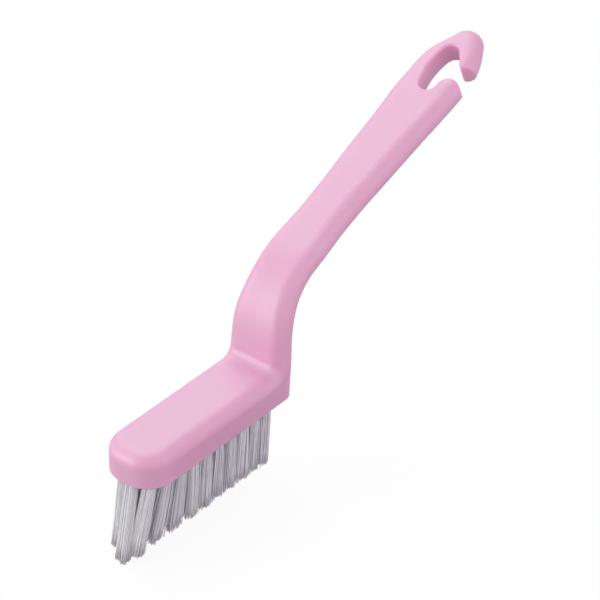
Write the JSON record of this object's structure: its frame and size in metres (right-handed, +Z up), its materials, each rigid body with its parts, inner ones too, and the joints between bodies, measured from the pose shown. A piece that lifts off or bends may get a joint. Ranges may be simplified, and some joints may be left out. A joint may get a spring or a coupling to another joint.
{
  "type": "small scrubbing brush",
  "caption": "Narrow scrubbing brush: pink one-piece plastic body with a cranked neck, a flat handle ending in an open hanging hook, and tufts of pale nylon bristle under a slim head.",
  "frame": {"origin": "floor level under the middle of the bounding box, with the brush standing on its longest bristle tips and the underside of its head level", "axes": "+X from the nose of the head towards the hook at the handle's end, +Z up from the bristle tips to the handle, +Y towards the side away from the hook's mouth"},
  "size_m": [0.1655, 0.0208, 0.1033],
  "materials": {
    "body_plastic": "satin, lightly textured moulding",
    "bristle": "translucent nylon filament, trimmed ends",
    "anchor_metal": "plain rolled strip"
  },
  "bodies": {
    "root": {"brush_body": "body_plastic", "tuft_left_01": "bristle", "tuft_left_02": "bristle", "tuft_left_03": "bristle", "tuft_left_04": "bristle", "tuft_left_05": "bristle", "tuft_left_06": "bristle", "tuft_left_07": "bristle", "tuft_left_08": "bristle", "tuft_left_09": "bristle", "tuft_middle_01": "bristle", "tuft_middle_02": "bristle", "tuft_middle_03": "bristle", "tuft_middle_04": "bristle", "tuft_middle_05": "bristle", "tuft_middle_06": "bristle", "tuft_middle_07": "bristle", "tuft_middle_08": "bristle", "tuft_middle_09": "bristle", "tuft_nose_left": "bristle", "tuft_nose_middle": "bristle", "tuft_nose_right": "bristle", "tuft_right_01": "bristle", "tuft_right_02": "bristle", "tuft_right_03": "bristle", "tuft_right_04": "bristle", "tuft_right_05": "bristle", "tuft_right_06": "bristle", "tuft_right_07": "bristle", "tuft_right_08": "bristle", "tuft_right_09": "bristle", "tuft_anchors": "anchor_metal"}
  },
  "joints": []
}
